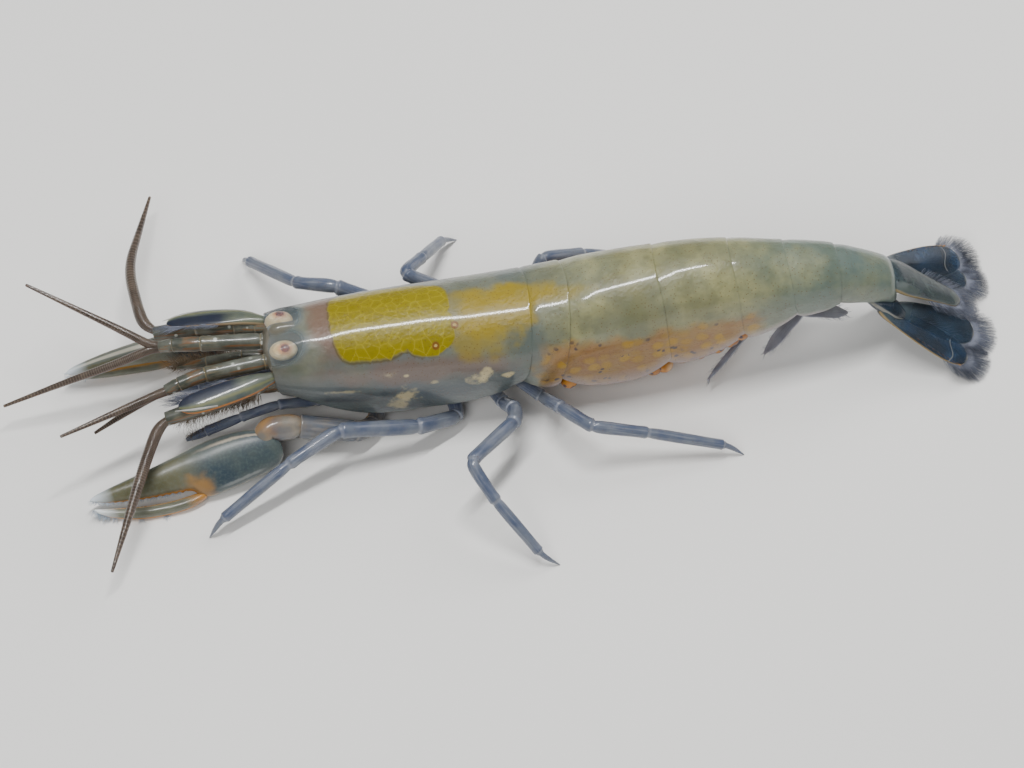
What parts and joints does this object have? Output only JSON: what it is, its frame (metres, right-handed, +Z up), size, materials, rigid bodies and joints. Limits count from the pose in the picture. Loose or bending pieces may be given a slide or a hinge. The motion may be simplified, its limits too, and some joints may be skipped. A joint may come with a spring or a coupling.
{
  "type": "betaeus gracilis hooded shrimp model",
  "caption": "Life-size still model of a slender hooded shrimp carrying eggs: hooded carapace, jointed abdomen, tail fan, long claws, walking legs and feelers.",
  "frame": {"origin": "under the middle of the whole model, on the floor that it stands on", "axes": "+X towards the tail, along the body; +Y towards the animal's right side; +Z up"},
  "size_m": [0.0406, 0.0202, 0.0064],
  "materials": {
    "shell": "moist translucent shell",
    "limbs": "clear blue grey cuticle",
    "claws": "hard glossy cuticle",
    "feelers": "ringed brown cuticle",
    "fan": "thin translucent blades",
    "eyes": "smooth cornea",
    "eggs": "wet egg skins"
  },
  "bodies": {
    "root": {"abdomen_1": "shell", "abdomen_2": "shell", "abdomen_3": "shell", "abdomen_4": "shell", "abdomen_5": "shell", "abdomen_6": "shell", "antenna_flagellum_left": "feelers", "antenna_flagellum_right": "feelers", "antenna_left": "limbs", "antenna_right": "limbs", "antennule_flagella_left": "feelers", "antennule_flagella_right": "feelers", "antennule_left": "limbs", "antennule_right": "limbs", "arm_left": "claws", "arm_right": "claws", "carapace": "shell", "carpus_left": "claws", "carpus_right": "claws", "egg_mass": "eggs", "eye_left": "eyes", "eye_right": "eyes", "leg_2_left": "limbs", "leg_2_right": "limbs", "leg_3_left": "limbs", "leg_3_right": "limbs", "leg_4_left": "limbs", "leg_4_right": "limbs", "leg_5_left": "limbs", "leg_5_right": "limbs", "maxilliped_left": "limbs", "maxilliped_right": "limbs", "movable_finger_left": "claws", "movable_finger_right": "claws", "palm_left": "claws", "palm_right": "claws", "swimmeret_1_left": "limbs", "swimmeret_1_right": "limbs", "swimmeret_2_left": "limbs", "swimmeret_2_right": "limbs", "swimmeret_3_left": "limbs", "swimmeret_3_right": "limbs", "swimmeret_4_left": "limbs", "swimmeret_4_right": "limbs", "swimmeret_5_left": "limbs", "swimmeret_5_right": "limbs", "telson": "fan", "uropod_inner_left": "fan", "uropod_inner_right": "fan", "uropod_outer_left": "fan", "uropod_outer_right": "fan"}
  },
  "joints": []
}
